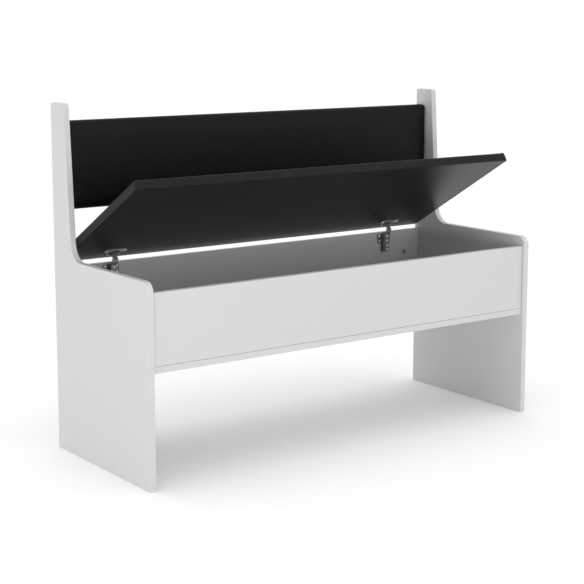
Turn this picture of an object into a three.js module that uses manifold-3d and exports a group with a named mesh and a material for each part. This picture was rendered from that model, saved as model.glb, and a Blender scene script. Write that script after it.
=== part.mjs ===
// Corner storage bench: two board gables with raised uprights, a box between them and a padded
// lid on two concealed cup hinges, shown held open. Millimetres, +Z up, the front towards -Y.
import * as THREE from 'three';
import { mergeVertices } from 'three/addons/utils/BufferGeometryUtils.js';
import Module from 'manifold-3d';

const wasm = await Module();
wasm.setup();

// Whole bench
const bench_width = 1200;
const bench_depth = 455;
const bench_height = 875;
const board = 16;
const edge_round = 0.9;

// Gables
const seat_level = 491.3;
const upright_depth = 65.3;
const upright_lean = THREE.MathUtils.degToRad(3.73);
const upright_corner_radius = 9;
const seat_front_radius = 25;
const seat_rear_radius = 45;

// Storage box
const box_floor_underside = 276.5;
const box_wall_height = 172;
const front_panel_inset = 7.5;

// Backrest: it stands upright between the leaning front edges of the gables
const backrest_board_margin = 15.25;
const backrest_board_setback = 6.5;
const backrest_pad_thickness = 24;
const backrest_pad_top_drop = 44;
const backrest_pad_rise = 120.2;
const backrest_side_gap = 1.2;
const backrest_edge_radius = 7;
const backrest_corner_radius = 8;
const backrest_crown = 3;
const backrest_crown_reach = 70;

// Lid
const seat_board_thickness = 18;
const seat_cover = 6;
const lid_side_gap = 1.3;
const lid_closed_gap = 1.2;
const lid_front_setback = 7.5;
const lid_open_angle = THREE.MathUtils.degToRad(30);
const lid_skirt = 4;
const lid_edge_radius = 3;
const lid_corner_radius = 6;
const lid_crown = 1.2;
const lid_crown_reach = 60;

// Clearances
const turned_gap = 0.3;
const screw_clearance = 0.25;
const pin_clearance = 0.25;
const cam_clearance = 0.25;
const cut_overrun = 2;

// Hinges: s runs back from the rear panel's inner face and h up from its top edge
const hinge_end_distance = 150;
const plate_thickness = 2;
const plate_wing_span = 46;
const plate_wing_height = 27;
const plate_top_drop = 5;
const plate_length = 52;
const plate_tongue_width = 20;
const plate_corner_radius = 2.5;
const plate_rib_width = 10;
const plate_screw_span = 34;
const plate_screw_drop = 5;
const plate_screw_pitch = 15.5;
const arm_width = 15;
const arm_cheek = 2.2;
const arm_stand = 17;
const arm_cheek_reach = 8;
const arm_web = 2;
const arm_foot_drop = 55;
const arm_bend_drop = 6;
const arm_heel_drop = 6;
const arm_knee_stand = 12;
const arm_knee_drop = 3;
const arm_neck_stand = 19.5;
const arm_neck_rise = 5.5;
const arm_chin_rise = 4;
const arm_slot_rise = 10;
const arm_nose_radius = 2.3;
const arm_pin_stand = 24;
const arm_pin_rise = 12.85;
const arm_screw_drops = { adjusting: 10, depth: 24, fixing: 38.5, release: 48.5 };
const arm_screw_bite = 4;
const pin_radius = 1.1;
const link_turn_ratio = 1.75;
const link_width = 10;
const link_thickness = 2.4;
const link_elbow_reach = 14.9;
const link_elbow_rise = 9.3;
const link_waist_width = 15;
const link_eye_radius = 2.3;
const cup_centre_inset = 33;
const cup_radius = 17.5;
const cup_wall = 0.8;
const cup_floor = 0.7;
const cup_depth = 15.8;
const cup_rim_width = 2;
const cup_flange_thickness = 1.2;
const cup_flange_span = 64;
const cup_flange_width = 17;
const cup_flange_end_radius = 7;
const cup_screw_span = 52;
const cup_screw_offset = 12;
const cup_edge_margin = 16.6;
const cup_pin_inset = 20;
const cup_pin_rise = 1.8;
const cup_pin_length = 19.8;
const cup_lug_spacing = 15.8;
const cup_lug_height = 4.4;
const cup_lug_length = 6;
const cup_notch_width = 11.6;
const cup_notch_height = 4;
const cup_notch_inset = 19;

// Screws and cam locks
const screw_head_radius = 3.2;
const screw_head_height = 1.7;
const screw_shank_radius = 1.6;
const screw_bite = 10;
const screw_recess_radius = 1.5;
const screw_recess_depth = 0.9;
const cam_radius = 7.5;
const cam_depth = 12.5;
const cam_recess_length = 9;
const cam_recess_width = 1.8;
const cam_recess_depth = 2.5;
const cam_end_distance = 55;
const cam_top_distance = 65;
const cam_bottom_distance = 42;
const cam_floor_edge_distance = 75;
const cam_backrest_share = 0.29;

// Facets
const fine_segments = 40;
const round_segments = 24;
const small_segments = 14;
const arc_steps = 8;
const round_steps = 3;

// Places that follow from the sizes above
const inner_half = bench_width / 2 - board;
const front = -bench_depth / 2;
const rear = bench_depth / 2;
const box_floor_top = box_floor_underside + board;
const box_top = box_floor_top + box_wall_height;
const box_front = front + front_panel_inset;
const box_inner_rear = rear - board;
const lid_width = 2 * (inner_half - lid_side_gap);
const lid_depth = rear - front - 2 * lid_front_setback;
const backrest_pad_foot = seat_level + backrest_pad_rise;
const backrest_pad_height = bench_height - backrest_pad_top_drop - backrest_pad_foot;
const backrest_board_height = backrest_pad_height - 2 * backrest_board_margin;
const hinge_places = { left: -bench_width / 2 + hinge_end_distance, right: bench_width / 2 - hinge_end_distance };

// Materials
const finish = (color, roughness, metalness = 0) => new THREE.MeshStandardMaterial({ color, roughness, metalness });
const white_board = () => finish('#ececec', 0.5);
const black_board = () => finish('#2b2b2b', 0.4);
const black_cover = () => finish('#242424', 0.55);
const dark_steel = () => finish('#5a5a5a', 0.35, 0.9);
const bright_steel = () => finish('#a8a8a8', 0.3, 1);
const cam_metal = () => finish('#4a4a4a', 0.5, 0.8);

const bench = new THREE.Group();

function add(name, geometry, material, parent = bench) {
  const mesh = new THREE.Mesh(geometry, material);
  mesh.name = name;
  parent.add(mesh);
  return mesh;
}

// Booleans
function solid(geometry) {
  const bare = geometry.clone();
  bare.deleteAttribute('normal');
  bare.deleteAttribute('uv');
  const merged = mergeVertices(bare, 1e-4);
  const vertProperties = Float32Array.from(merged.attributes.position.array);
  const triVerts = Uint32Array.from(merged.index.array);
  return new wasm.Manifold(new wasm.Mesh({ numProp: 3, vertProperties, triVerts }));
}

function geometryOf(manifold) {
  const mesh = manifold.getMesh();
  const geometry = new THREE.BufferGeometry();
  geometry.setAttribute('position', new THREE.BufferAttribute(mesh.vertProperties, 3));
  geometry.setIndex(new THREE.BufferAttribute(mesh.triVerts, 1));
  return geometry;
}

function cut(geometry, tools) {
  let result = solid(geometry);
  for (const tool of tools) {
    result = result.subtract(solid(tool));
  }
  return geometryOf(result);
}

function join(geometries) {
  let result = solid(geometries[0]);
  for (const other of geometries.slice(1)) {
    result = result.add(solid(other));
  }
  return geometryOf(result);
}

// The arc that rounds one corner [a, b, radius] of an outline
function cornerArc(corners, index) {
  const [a, b, radius] = corners[index];
  const here = new THREE.Vector2(a, b);
  const back = new THREE.Vector2(...corners.at(index - 1).slice(0, 2)).sub(here).normalize();
  const ahead = new THREE.Vector2(...corners[(index + 1) % corners.length].slice(0, 2)).sub(here).normalize();
  const half = Math.acos(THREE.MathUtils.clamp(back.dot(ahead), -1, 1)) / 2;
  const reach = radius / Math.tan(half);
  const bisector = back.clone().add(ahead).normalize();
  const centre = here.clone().addScaledVector(bisector, radius / Math.sin(half));
  const from = here.clone().addScaledVector(back, reach).sub(centre).angle();
  const to = here.clone().addScaledVector(ahead, reach).sub(centre).angle();
  return { centre, from, to, clockwise: back.cross(ahead) > 0 };
}

// A closed outline through corners [a, b] or, with a tangent arc, [a, b, radius]
function outline(corners) {
  const shape = new THREE.Shape();
  corners.forEach(([a, b, radius = 0], index) => {
    if (radius > 0) {
      const { centre, from, to, clockwise } = cornerArc(corners, index);
      shape.absarc(centre.x, centre.y, radius, from, to, clockwise);
    } else if (index > 0) {
      shape.lineTo(a, b);
    } else {
      shape.moveTo(a, b);
    }
  });
  return shape;
}

// Extrudes a shape by depth, centred, with its long edges rounded by edge
function extrude(shape, depth, edge = 0) {
  const geometry = new THREE.ExtrudeGeometry(shape, {
    depth: depth - 2 * edge,
    bevelEnabled: edge > 0,
    bevelThickness: edge,
    bevelSize: edge,
    bevelOffset: -edge,
    bevelSegments: 2,
    curveSegments: arc_steps,
  });
  return geometry.translate(0, 0, edge - depth / 2);
}

// Turns a shape drawn in (y, z) and extruded along local z into one extruded along x
const side_axes = new THREE.Matrix4().makeBasis(
  new THREE.Vector3(0, 1, 0),
  new THREE.Vector3(0, 0, 1),
  new THREE.Vector3(1, 0, 0),
);
const alongX = (geometry) => geometry.applyMatrix4(side_axes);

// Turns a shape drawn in (x, z) and extruded along local z into one extruded along -y
const alongY = (geometry) => geometry.rotateX(Math.PI / 2);

const cylinderX = (radius, length, segments = round_segments) =>
  new THREE.CylinderGeometry(radius, radius, length, segments).rotateZ(Math.PI / 2);
const cylinderY = (radius, length, segments = round_segments) =>
  new THREE.CylinderGeometry(radius, radius, length, segments);
const cylinderZ = (radius, length, segments = round_segments) =>
  new THREE.CylinderGeometry(radius, radius, length, segments).rotateX(Math.PI / 2);

function rectangle(width, height, radius = 0) {
  return outline([
    [-width / 2, -height / 2, radius],
    [width / 2, -height / 2, radius],
    [width / 2, height / 2, radius],
    [-width / 2, height / 2, radius],
  ]);
}

// Cam lock: a disc with a cross recess, its face at the origin facing -y
function camLock() {
  const body = cylinderY(cam_radius, cam_depth).translate(0, cam_depth / 2, 0);
  const long = new THREE.BoxGeometry(cam_recess_length, 2 * cam_recess_depth, cam_recess_width);
  const tall = new THREE.BoxGeometry(cam_recess_width, 2 * cam_recess_depth, cam_recess_length);
  return cut(body, [long, tall]);
}

function camBore() {
  const bore = cylinderY(cam_radius + cam_clearance, cam_depth + cut_overrun);
  return bore.translate(0, (cam_depth - cut_overrun) / 2, 0);
}

// Pan-head screw: the head's seat at the origin, its head towards -y and its shank towards +y
function screw(bite) {
  const profile = [
    [0, bite],
    [screw_shank_radius, bite - screw_shank_radius],
    [screw_shank_radius, 0],
    [screw_head_radius, 0],
    [screw_head_radius, -screw_head_height / 2],
    [screw_head_radius - screw_head_height / 2, -screw_head_height],
    [screw_recess_radius, -screw_head_height],
    [0, screw_recess_depth - screw_head_height],
  ];
  const points = profile.map(([radius, height]) => new THREE.Vector2(radius, height)).reverse();
  return new THREE.LatheGeometry(points, small_segments);
}

function screwHole(depth, drop = 0) {
  const radius = screw_shank_radius + screw_clearance;
  return cylinderY(radius, depth + cut_overrun, small_segments).translate(0, drop + (depth - cut_overrun) / 2, 0);
}

// Gables
function gable() {
  const upright_front_top = rear - upright_depth;
  const upright_front_foot = upright_front_top - (bench_height - seat_level) * Math.tan(upright_lean);
  const shape = outline([
    [front, 0],
    [rear, 0],
    [rear, bench_height, upright_corner_radius],
    [upright_front_top, bench_height, upright_corner_radius],
    [upright_front_foot, seat_level, seat_rear_radius],
    [front, seat_level, seat_front_radius],
  ]);
  return alongX(extrude(shape, board, edge_round));
}

const gable_centre = bench_width / 2 - board / 2;
add('left_gable', gable().translate(-gable_centre, 0, 0), white_board());
add('right_gable', gable().translate(gable_centre, 0, 0), white_board());

// Storage box: walls that stand on the floor board, held by cam locks
const cam_columns = [-1, 1].map((side) => side * (inner_half - cam_end_distance));
const cam_rows = [box_top - cam_top_distance, box_floor_top + cam_bottom_distance];
const cam_places = cam_columns.flatMap((x) => cam_rows.map((z) => ({ x, z })));
const cam_names = ['left_upper', 'left_lower', 'right_upper', 'right_lower'];

function boxWall() {
  const shape = rectangle(2 * inner_half, box_wall_height);
  return alongY(extrude(shape, board, edge_round));
}

// A wall's cams are cut and set in its inner face, which faces `inward` along y
function fitCams(wall, name, y, inward) {
  const centre_height = box_floor_top + box_wall_height / 2;
  const facing = (geometry) => (inward > 0 ? geometry.rotateZ(Math.PI) : geometry);
  const face = y + (inward * board) / 2;
  const bores = cam_places.map(({ x, z }) => facing(camBore()).translate(x, face, z));
  cam_places.forEach(({ x, z }, index) => {
    add(`${name}_cam_${cam_names[index]}`, facing(camLock()).translate(x, face, z), cam_metal());
  });
  return { body: wall.translate(0, y, centre_height), bores };
}

const hinge_screw_places = Object.values(hinge_places).flatMap((x) =>
  [-1, 1].flatMap((side) =>
    [0, 1].map((row) => ({
      x: x + (side * plate_screw_span) / 2,
      z: box_top - plate_top_drop - plate_screw_drop - row * plate_screw_pitch,
    })),
  ),
);

const front_wall = fitCams(boxWall(), 'front_panel', box_front + board / 2, 1);
add('front_panel', cut(front_wall.body, front_wall.bores), white_board());

const rear_wall = fitCams(boxWall(), 'rear_panel', rear - board / 2, -1);
const rear_screw_holes = hinge_screw_places.map(({ x, z }) => screwHole(screw_bite).translate(x, box_inner_rear, z));
add('rear_panel', cut(rear_wall.body, [...rear_wall.bores, ...rear_screw_holes]), white_board());

function floorCamPlaces() {
  const rows = [box_front + cam_floor_edge_distance, rear - cam_floor_edge_distance];
  return cam_columns.flatMap((x) => rows.map((y) => ({ x, y })));
}

function boxFloor() {
  const depth = rear - box_front;
  const body = extrude(rectangle(2 * inner_half, depth), board, edge_round);
  const facing_down = (geometry) => geometry.rotateX(Math.PI / 2);
  const names = ['left_front', 'left_rear', 'right_front', 'right_rear'];
  const bores = floorCamPlaces().map(({ x, y }) => facing_down(camBore()).translate(x, y, box_floor_underside));
  floorCamPlaces().forEach(({ x, y }, index) => {
    const cam = facing_down(camLock()).translate(x, y, box_floor_underside);
    add(`box_floor_cam_${names[index]}`, cam, cam_metal());
  });
  return cut(body.translate(0, box_front + depth / 2, box_floor_underside + board / 2), bores);
}

add('box_floor', boxFloor(), white_board());

// Padded form: rings of a rounded rectangle, each pulled in by `inset` at a height, closed at both ends
function ring(width, depth, radius, inset, height) {
  const points = [];
  const corner = Math.max(radius - inset, radius / 4);
  const half = [width / 2 - inset - corner, depth / 2 - inset - corner];
  const quarters = [[1, 1, 0], [-1, 1, 1], [-1, -1, 2], [1, -1, 3]];
  for (const [sx, sy, quarter] of quarters) {
    for (let step = 0; step <= round_steps; step += 1) {
      const angle = ((quarter + step / round_steps) * Math.PI) / 2;
      const x = sx * half[0] + corner * Math.cos(angle);
      points.push([x, sy * half[1] + corner * Math.sin(angle), height]);
    }
  }
  return points;
}

function padded(width, depth, radius, profile) {
  const rings = profile.map(([inset, height]) => ring(width, depth, radius, inset, height));
  const count = rings[0].length;
  const positions = rings.flat(2);
  const index = [];
  for (let level = 0; level < rings.length - 1; level += 1) {
    for (let k = 0; k < count; k += 1) {
      const a = level * count + k;
      const b = level * count + ((k + 1) % count);
      index.push(a, b, b + count, a, b + count, a + count);
    }
  }
  const foot = positions.length / 3;
  positions.push(0, 0, profile[0][1], 0, 0, profile.at(-1)[1]);
  const top_ring = (rings.length - 1) * count;
  for (let k = 0; k < count; k += 1) {
    const next = (k + 1) % count;
    index.push(foot, next, k, foot + 1, top_ring + k, top_ring + next);
  }
  const geometry = new THREE.BufferGeometry();
  geometry.setAttribute('position', new THREE.Float32BufferAttribute(positions, 3));
  geometry.setIndex(index);
  return geometry;
}

// Side and crown of a pad: drawn in at its foot, round at its edge, and domed over `reach`
function padProfile(thickness, edge, crown, reach, draw) {
  const profile = [[draw + edge / 4, 0], [draw, edge / 4], [0, thickness / 2]];
  const side_top = thickness - crown - edge;
  if (side_top > thickness / 2) {
    profile.push([0, side_top]);
  }
  for (let step = 1; step <= arc_steps / 2; step += 1) {
    const angle = (step / (arc_steps / 2)) * (Math.PI / 2);
    profile.push([edge * (1 - Math.cos(angle)), thickness - crown - edge * (1 - Math.sin(angle))]);
  }
  for (let step = 1; step <= arc_steps / 2; step += 1) {
    const share = step / (arc_steps / 2);
    const inset = edge + (reach - edge) * share;
    profile.push([inset, thickness - crown * (1 - share) ** 2]);
  }
  return profile;
}

// Backrest: a board between the uprights with the pad on its front
function buildBackrest() {
  const back = rear - backrest_board_setback;
  const pad_back = back - board;
  const middle = bench_height - backrest_pad_top_drop - backrest_pad_height / 2;
  const pad_width = 2 * (inner_half - backrest_side_gap);
  const profile = padProfile(
    backrest_pad_thickness,
    backrest_edge_radius,
    backrest_crown,
    backrest_crown_reach,
    turned_gap,
  );
  const pad = padded(pad_width, backrest_pad_height, backrest_corner_radius, profile);
  add('backrest_pad', pad.rotateX(Math.PI / 2).translate(0, pad_back, middle), black_cover());

  const cam_rise = backrest_board_height * cam_backrest_share;
  const cams = cam_columns.flatMap((x) => [1, -1].map((side) => ({ x, z: middle + side * cam_rise })));
  const facing_back = (geometry) => geometry.rotateZ(Math.PI);
  const body = alongY(extrude(rectangle(2 * inner_half, backrest_board_height), board, edge_round));
  body.translate(0, back - board / 2, middle);
  const bores = cams.map(({ x, z }) => facing_back(camBore()).translate(x, back, z));
  add('backrest_board', cut(body, bores), white_board());
  cams.forEach(({ x, z }, index) => {
    add(`backrest_cam_${cam_names[index]}`, facing_back(camLock()).translate(x, back, z), cam_metal());
  });
}

buildBackrest();

// The hinge's pivots in (s, h): the link turns on the arm's pin and carries the lid on the cup's pin
const arm_pin = new THREE.Vector2(-arm_pin_stand, arm_pin_rise);

// From the lid's rear lower edge to a point `inset` from that edge and `rise` into the lid, at an angle
function onLid(inset, rise, angle) {
  const along = rise * Math.sin(angle) - inset * Math.cos(angle);
  const up = inset * Math.sin(angle) + rise * Math.cos(angle);
  return new THREE.Vector2(along, up);
}

const closed_corner = new THREE.Vector2(board, lid_closed_gap);
const link_closed = closed_corner.clone().add(onLid(cup_pin_inset, cup_pin_rise, 0)).sub(arm_pin);
const link_length = link_closed.length();
const link_angle = link_closed.angle() + link_turn_ratio * lid_open_angle;
const link_shown = new THREE.Vector2(link_length * Math.cos(link_angle), link_length * Math.sin(link_angle));
const lid_corner = arm_pin.clone().add(link_shown).sub(onLid(cup_pin_inset, cup_pin_rise, lid_open_angle));

// Mounting plate: a cross of sheet with a raised rib that the arm slides over
function mountingPlate() {
  const wing = plate_wing_span / 2;
  const tongue = plate_tongue_width / 2;
  const top = -plate_top_drop;
  const wing_foot = top - plate_wing_height;
  const foot = top - plate_length;
  const shape = outline([
    [-wing, top, plate_corner_radius],
    [-wing, wing_foot, plate_corner_radius],
    [-tongue, wing_foot, plate_corner_radius],
    [-tongue, foot, plate_corner_radius],
    [tongue, foot, plate_corner_radius],
    [tongue, wing_foot, plate_corner_radius],
    [wing, wing_foot, plate_corner_radius],
    [wing, top, plate_corner_radius],
  ]);
  const sheet = alongY(extrude(shape, plate_thickness)).translate(0, -plate_thickness / 2, 0);
  const rib_depth = arm_stand - arm_web;
  const rib_length = plate_length - 2 * plate_corner_radius;
  const rib = new THREE.BoxGeometry(plate_rib_width, rib_depth, rib_length);
  rib.translate(0, -rib_depth / 2, top - plate_length / 2);
  const holes = [-1, 1].flatMap((side) =>
    [0, 1].map((row) => {
      const z = top - plate_screw_drop - row * plate_screw_pitch;
      return screwHole(2 * plate_thickness).translate((side * plate_screw_span) / 2, -plate_thickness, z);
    }),
  );
  const depth = arm_screw_bite + 2 * screw_clearance;
  const bites = Object.values(arm_screw_drops).map((drop) =>
    screwHole(depth).translate(0, -rib_depth, -drop),
  );
  return cut(join([sheet, rib]), [...holes, ...bites]);
}

// Arm: a channel over the rib, bent forwards and up to a forked nose that holds the link's pin
function hingeArm() {
  const shape = outline([
    [arm_cheek_reach - arm_stand, -arm_foot_drop],
    [-arm_stand, -arm_foot_drop],
    [-arm_stand, -arm_bend_drop],
    [-arm_pin_stand - arm_nose_radius, arm_chin_rise],
    [-arm_pin_stand - arm_nose_radius, arm_pin_rise],
    [-arm_pin_stand + arm_nose_radius, arm_pin_rise],
    [-arm_neck_stand, arm_neck_rise],
    [-arm_knee_stand, -arm_knee_drop],
    [arm_cheek_reach - arm_stand, -arm_heel_drop],
  ]);
  const body = alongX(extrude(shape, arm_width));
  const nose = cylinderX(arm_nose_radius, arm_width).translate(0, arm_pin.x, arm_pin.y);
  const hollow_width = arm_width - 2 * arm_cheek;
  const channel = new THREE.BoxGeometry(hollow_width, arm_stand, 2 * arm_foot_drop + 2 * cut_overrun);
  channel.translate(0, arm_stand / 2 - arm_stand + arm_web, -arm_knee_drop);
  const slot = new THREE.BoxGeometry(hollow_width, arm_stand, arm_stand);
  slot.translate(0, arm_pin.x, arm_slot_rise + arm_stand / 2);
  const pin_hole = cylinderX(pin_radius + pin_clearance, arm_width + cut_overrun, small_segments);
  pin_hole.translate(0, arm_pin.x, arm_pin.y);
  const screw_holes = Object.values(arm_screw_drops).map((drop) =>
    screwHole(2 * arm_web).translate(0, -arm_stand, -drop),
  );
  return cut(join([body, nose]), [channel, slot, pin_hole, ...screw_holes]);
}

// A strip of the link between two places of its plane (along, rise)
function linkBar(from, to, width) {
  const way = to.clone().sub(from);
  const middle = from.clone().add(to).multiplyScalar(1 / 2);
  const strip = new THREE.BoxGeometry(width, way.length(), link_thickness);
  return strip.rotateX(way.angle()).translate(0, middle.x, middle.y);
}

// Link: an angled strip, widest round its elbow, drawn with its cup eye straight behind its arm eye
function hingeLink() {
  const arm_eye = new THREE.Vector2();
  const cup_eye = new THREE.Vector2(link_length, 0);
  const elbow = new THREE.Vector2(link_elbow_reach, link_elbow_rise);
  const waist_start_share = 0.22;
  const waist_end_share = 0.58;
  const waist_start = arm_eye.clone().lerp(elbow, waist_start_share);
  const waist_end = elbow.clone().lerp(cup_eye, waist_end_share);
  const round = (radius, place, width) => cylinderX(radius, width).translate(0, place.x, place.y);
  const body = join([
    linkBar(arm_eye, elbow, link_width),
    linkBar(elbow, cup_eye, link_width),
    linkBar(waist_start, elbow, link_waist_width),
    linkBar(elbow, waist_end, link_waist_width),
    round(link_thickness / 2, elbow, link_waist_width),
    round(link_eye_radius, arm_eye, link_width),
    round(link_eye_radius, cup_eye, link_width),
  ]);
  const bores = [arm_eye, cup_eye].map((place) =>
    cylinderX(pin_radius + pin_clearance, link_width + cut_overrun, small_segments).translate(0, place.x, place.y),
  );
  return cut(body, bores);
}

// The cup's flange: a rim round the bowl with a wing for each screw, cut straight towards the rear edge
function cupFlange(face) {
  const height = face - cup_flange_thickness / 2;
  const rim = cylinderZ(cup_radius + cup_rim_width, cup_flange_thickness, fine_segments);
  rim.translate(0, -cup_centre_inset, height);
  const wing = extrude(
    rectangle(cup_flange_span, cup_flange_width, cup_flange_end_radius),
    cup_flange_thickness,
  );
  wing.translate(0, -cup_centre_inset - cup_screw_offset, height);
  const holes = [-1, 1].map((side) => {
    const hole = cylinderZ(screw_shank_radius + screw_clearance, 2 * cup_flange_thickness, small_segments);
    return hole.translate((side * cup_screw_span) / 2, -cup_centre_inset - cup_screw_offset, height);
  });
  return cut(join([rim, wing]), holes);
}

// Cup: a pressed bowl in the lid with a winged flange and two lugs for the pin.
// Drawn with +y towards the lid's rear edge and +z into the lid, both zero at the rear lower edge.
function hingeCup() {
  const face = -turned_gap;
  const foot = face - cup_flange_thickness;
  const bowl_height = cup_depth - foot;
  const bowl = cylinderZ(cup_radius, bowl_height, fine_segments);
  bowl.translate(0, -cup_centre_inset, foot + bowl_height / 2);
  const hollow = cylinderZ(cup_radius - cup_wall, bowl_height, fine_segments);
  hollow.translate(0, -cup_centre_inset, foot - cup_floor + bowl_height / 2);
  const shell = solid(bowl).subtract(solid(hollow));
  const lug_width = cup_radius - cup_lug_spacing / 2;
  const lug_blocks = [-1, 1].map((side) => {
    const block = new THREE.BoxGeometry(lug_width, cup_lug_length, cup_lug_height);
    const across = (cup_lug_spacing + lug_width) / 2;
    return solid(block.translate(side * across, -cup_pin_inset, cup_pin_rise)).intersect(solid(bowl));
  });
  const trim_reach = 2 * cup_radius;
  const trim = new THREE.BoxGeometry(2 * trim_reach, trim_reach, -2 * foot);
  trim.translate(0, trim_reach / 2 - cup_edge_margin, 0);
  const notch_length = cup_radius;
  const notch = new THREE.BoxGeometry(cup_notch_width, notch_length, 2 * cup_notch_height);
  notch.translate(0, notch_length / 2 - cup_notch_inset, 0);
  const bore = cylinderX(pin_radius + pin_clearance, cup_pin_length + pin_clearance, small_segments);
  bore.translate(0, -cup_pin_inset, cup_pin_rise);
  const opening = cylinderZ(cup_radius - cup_wall, -2 * foot, fine_segments);
  opening.translate(0, -cup_centre_inset, 0);
  let cup = shell.add(solid(cupFlange(face)).subtract(solid(opening)));
  for (const block of lug_blocks) {
    cup = cup.add(block);
  }
  for (const tool of [trim, notch, bore]) {
    cup = cup.subtract(solid(tool));
  }
  return geometryOf(cup);
}

const pin = (length) => cylinderX(pin_radius, length, small_segments);

// A point of the hinge plane (s, h) in the bench's frame
const placeInBench = (group, point, x = 0) => group.position.set(x, box_inner_rear + point.x, box_top + point.y);

// Lid: turned about its rear lower edge, with +y to the rear and the underside at zero
const lid = new THREE.Group();
placeInBench(lid, lid_corner);
lid.rotation.x = -lid_open_angle;
bench.add(lid);

function seatPad() {
  const thickness = seat_board_thickness + seat_cover + lid_crown;
  const profile = padProfile(thickness, lid_edge_radius, lid_crown, lid_crown_reach, turned_gap);
  const body = padded(lid_width, lid_depth, lid_corner_radius, profile).translate(0, -lid_depth / 2, 0);
  const pocket_height = seat_board_thickness + turned_gap;
  const pocket = new THREE.BoxGeometry(
    lid_width - 2 * lid_skirt,
    lid_depth - 2 * lid_skirt,
    pocket_height + cut_overrun,
  );
  pocket.translate(0, -lid_depth / 2, (pocket_height - cut_overrun) / 2);
  return cut(body, [pocket]);
}

function cupSeat(x) {
  const depth = cup_depth + turned_gap;
  const bore = cylinderZ(cup_radius + turned_gap, depth + cut_overrun, fine_segments);
  bore.translate(x, -cup_centre_inset, (depth - cut_overrun) / 2);
  const pilots = [-1, 1].map((side) => {
    const pilot = cylinderZ(screw_shank_radius + screw_clearance, 2 * screw_bite, small_segments);
    return pilot.translate(x + (side * cup_screw_span) / 2, -cup_centre_inset - cup_screw_offset, 0);
  });
  return [bore, ...pilots];
}

function seatBoard() {
  const margin = lid_skirt + turned_gap;
  const body = extrude(
    rectangle(lid_width - 2 * margin, lid_depth - 2 * margin),
    seat_board_thickness,
    edge_round,
  );
  body.translate(0, -lid_depth / 2, seat_board_thickness / 2);
  return cut(body, Object.values(hinge_places).flatMap(cupSeat));
}

add('seat_board', seatBoard(), black_board(), lid);
add('seat_pad', seatPad(), black_cover(), lid);

const rows = ['upper', 'lower'];
const hands = [['left', -1], ['right', 1]];

function buildHingeBase(side, x) {
  const base = new THREE.Group();
  placeInBench(base, new THREE.Vector2(), x);
  bench.add(base);
  add(`${side}_mounting_plate`, mountingPlate(), dark_steel(), base);
  add(`${side}_hinge_arm`, hingeArm(), dark_steel(), base);
  add(`${side}_arm_pin`, pin(arm_width), bright_steel(), base).position.set(0, arm_pin.x, arm_pin.y);
  for (const [hand, across] of hands) {
    rows.forEach((row, index) => {
      const name = `${side}_plate_screw_${hand}_${row}`;
      const drop = plate_top_drop + plate_screw_drop + index * plate_screw_pitch;
      const mesh = add(name, screw(screw_bite - cut_overrun), bright_steel(), base);
      mesh.position.set((across * plate_screw_span) / 2, -plate_thickness, -drop);
    });
  }
  const arm_screw_length = arm_web + arm_screw_bite;
  for (const [use, drop] of Object.entries(arm_screw_drops)) {
    const mesh = add(`${side}_${use}_screw`, screw(arm_screw_length), bright_steel(), base);
    mesh.position.set(0, -arm_stand, -drop);
  }
}

function buildHingeLink(side, x) {
  const link = new THREE.Group();
  placeInBench(link, arm_pin, x);
  link.rotation.x = link_angle;
  bench.add(link);
  add(`${side}_hinge_link`, hingeLink(), dark_steel(), link);
}

function buildHingeCup(side, x) {
  add(`${side}_hinge_cup`, hingeCup(), dark_steel(), lid).position.set(x, 0, 0);
  const cup_pin = add(`${side}_cup_pin`, pin(cup_pin_length), bright_steel(), lid);
  cup_pin.position.set(x, -cup_pin_inset, cup_pin_rise);
  for (const [hand, across] of hands) {
    const seated = screw(screw_bite - cut_overrun).rotateX(Math.PI / 2);
    const mesh = add(`${side}_cup_screw_${hand}`, seated, bright_steel(), lid);
    const y = -cup_centre_inset - cup_screw_offset;
    mesh.position.set(x + (across * cup_screw_span) / 2, y, -cup_flange_thickness - 2 * turned_gap);
  }
}

for (const [side, x] of Object.entries(hinge_places)) {
  buildHingeBase(side, x);
  buildHingeLink(side, x);
  buildHingeCup(side, x);
}

// The origin is at the bottom centre of the bench's box, which the open lid makes a little deeper
const box = new THREE.Box3().setFromObject(bench, true);
bench.position.y = -(box.min.y + box.max.y) / 2;
bench.updateMatrixWorld(true);

export default bench;
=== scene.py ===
"""Corner storage bench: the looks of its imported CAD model, laid out as an add-on"""

import math

import bmesh
import bpy
import numpy as np
from bpy.props import FloatProperty, FloatVectorProperty, IntProperty, PointerProperty
from mathutils import Matrix, Vector


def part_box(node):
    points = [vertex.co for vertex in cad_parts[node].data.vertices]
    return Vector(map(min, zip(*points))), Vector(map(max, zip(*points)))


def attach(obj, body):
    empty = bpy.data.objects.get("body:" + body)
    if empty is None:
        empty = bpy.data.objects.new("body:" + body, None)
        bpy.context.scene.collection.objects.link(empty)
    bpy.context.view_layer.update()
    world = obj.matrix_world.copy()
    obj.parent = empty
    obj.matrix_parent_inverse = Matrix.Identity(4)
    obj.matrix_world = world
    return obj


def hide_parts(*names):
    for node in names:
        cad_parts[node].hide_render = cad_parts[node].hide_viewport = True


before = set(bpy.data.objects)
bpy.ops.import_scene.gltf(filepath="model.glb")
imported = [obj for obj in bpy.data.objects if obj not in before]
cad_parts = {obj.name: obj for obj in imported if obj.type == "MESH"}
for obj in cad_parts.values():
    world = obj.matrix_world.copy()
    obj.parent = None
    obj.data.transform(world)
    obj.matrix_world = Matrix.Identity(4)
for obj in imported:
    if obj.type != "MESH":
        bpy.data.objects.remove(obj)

bl_info = {
    "name": "Corner Storage Bench",
    "version": (1, 0, 0),
    "blender": (4, 5, 0),
    "location": "3D View > Sidebar > Bench",
    "description": "Builds the looks of a corner storage bench on its packed CAD frame",
    "category": "Object",
}

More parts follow.
